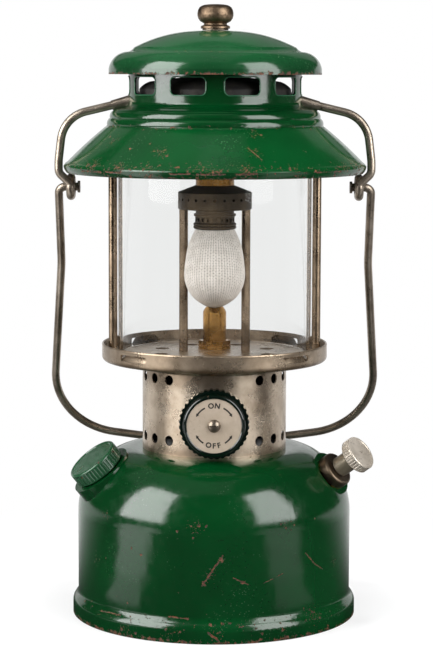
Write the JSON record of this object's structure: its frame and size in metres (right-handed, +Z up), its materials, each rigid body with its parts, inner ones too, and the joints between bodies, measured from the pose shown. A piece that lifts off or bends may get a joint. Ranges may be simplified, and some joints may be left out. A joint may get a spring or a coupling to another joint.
{
  "type": "kerosene pressure lantern",
  "caption": "Portable pressure lantern with a green enamelled tank and hood, clear glass globe, knitted mantle, hand pump, valve knob and wire bail.",
  "frame": {"origin": "centre of the foot bead's lower edge, on the ground", "axes": "+Z up along the lantern's axis, -Y towards the valve knob, +X towards the pump"},
  "size_m": [0.1902, 0.168, 0.34],
  "materials": {
    "enamel": "glossy green enamel",
    "knob_enamel": "glossy green-black enamel",
    "dial_nickel": "satin nickel",
    "nickel": "aged nickel plate",
    "bronze": "dark tarnished",
    "ball_finish": "dark aged nickel plate",
    "wire": "dark aged nickel plate",
    "brass": "heat-darkened satin",
    "steel": "dull",
    "glass": "clear",
    "knit": "knitted, matte",
    "leather": "oiled",
    "rubber": "matte"
  },
  "bodies": {
    "base": {"fount_body": "enamel", "fount_bottom": "enamel", "collar": "nickel", "tray": "nickel", "outer_post_left": "nickel", "outer_post_right": "nickel", "burner_post_left": "nickel", "burner_post_right": "nickel", "top_ring": "nickel", "burner_nozzle": "nickel", "burner_drum": "nickel", "pump_cap": "bronze", "generator_tube": "brass", "generator_nut": "brass", "gas_jet": "brass", "mixing_chamber": "brass", "valve_body": "brass", "valve_plug": "brass", "packing_nut": "brass", "outlet_bush": "brass", "filler_neck": "brass", "pump_barrel": "brass", "check_valve": "brass", "pickup_tube": "brass", "pickup_foot": "brass", "vent_stud": "steel", "ring_nuts": "steel", "burner_post_nuts": "steel", "globe": "glass", "mantle": "knit"},
    "filler_gasket": {"filler_gasket": "rubber"},
    "filler_cap": {"filler_cap": "enamel"},
    "valve": {"valve_stem": "brass", "valve_knob": "knob_enamel", "knob_dial": "dial_nickel", "knob_screw": "nickel", "cleaner_cam": "brass"},
    "cleaner": {"cleaner_rod": "steel"},
    "air_stem": {"air_stem": "steel"},
    "plunger": {"pump_rod": "steel", "pump_cup": "leather", "pump_cup_washer": "steel", "pump_knob": "nickel"},
    "hood": {"hood": "enamel", "ventilator_cap": "enamel", "vent_baffle": "steel", "ear_ferrules": "enamel", "bail_ear_left": "wire", "bail_ear_right": "wire"},
    "bail": {"bail": "wire"},
    "ball_washer": {"ball_nut_washer": "steel"},
    "ball_nut": {"ball_nut": "ball_finish"}
  },
  "joints": [
    {"name": "filler_cap_lift", "type": "slide", "parent": "base", "child": "filler_gasket", "axis": [-0.5886, -0.2027, 0.7826], "range_m": [0, 0.00525]},
    {"name": "filler_cap_turn", "type": "hinge", "parent": "filler_gasket", "child": "filler_cap", "pos_m": [-0.06278, -0.02162, 0.08355], "axis": [-0.5886, -0.2027, 0.7826], "range_deg": [0, 1260]},
    {"name": "valve_turn", "type": "hinge", "parent": "base", "child": "valve", "pos_m": [0, 0, 0.114], "axis": [0, -1, 0], "range_deg": [0, 270]},
    {"name": "cleaner_lift", "type": "slide", "parent": "base", "child": "cleaner", "axis": [0, 0, 1], "range_m": [-0.0025, 0]},
    {"name": "pump_knob_turn", "type": "hinge", "parent": "base", "child": "air_stem", "pos_m": [0.06503, -0.01988, 0.08175], "axis": [0.6802, -0.4417, 0.585], "range_deg": [0, 360]},
    {"name": "pump_stroke", "type": "slide", "parent": "air_stem", "child": "plunger", "axis": [0.6802, -0.4417, 0.585], "range_m": [0, 0.07]},
    {"name": "hood_lift", "type": "slide", "parent": "base", "child": "hood", "axis": [0, 0, 1], "range_m": [0, 0.065]},
    {"name": "bail_swing", "type": "hinge", "parent": "hood", "child": "bail", "pos_m": [0, 0, 0.2393], "axis": [1, 0, 0], "range_deg": [0, 156.1]},
    {"name": "ball_nut_lift", "type": "slide", "parent": "hood", "child": "ball_washer", "axis": [0, 0, 1], "range_m": [0, 0.00625]},
    {"name": "ball_nut_turn", "type": "hinge", "parent": "ball_washer", "child": "ball_nut", "pos_m": [0, 0, 0.3346], "axis": [0, 0, 1], "range_deg": [0, 1800]}
  ],
  "couplings": [
    {"joint": "filler_cap_lift", "follows": "filler_cap_turn", "m_per_rad": 0.00023873},
    {"joint": "cleaner_lift", "follows": "valve_turn", "m_per_rad": -0.00053051},
    {"joint": "ball_nut_lift", "follows": "ball_nut_turn", "m_per_rad": 0.00019894}
  ]
}
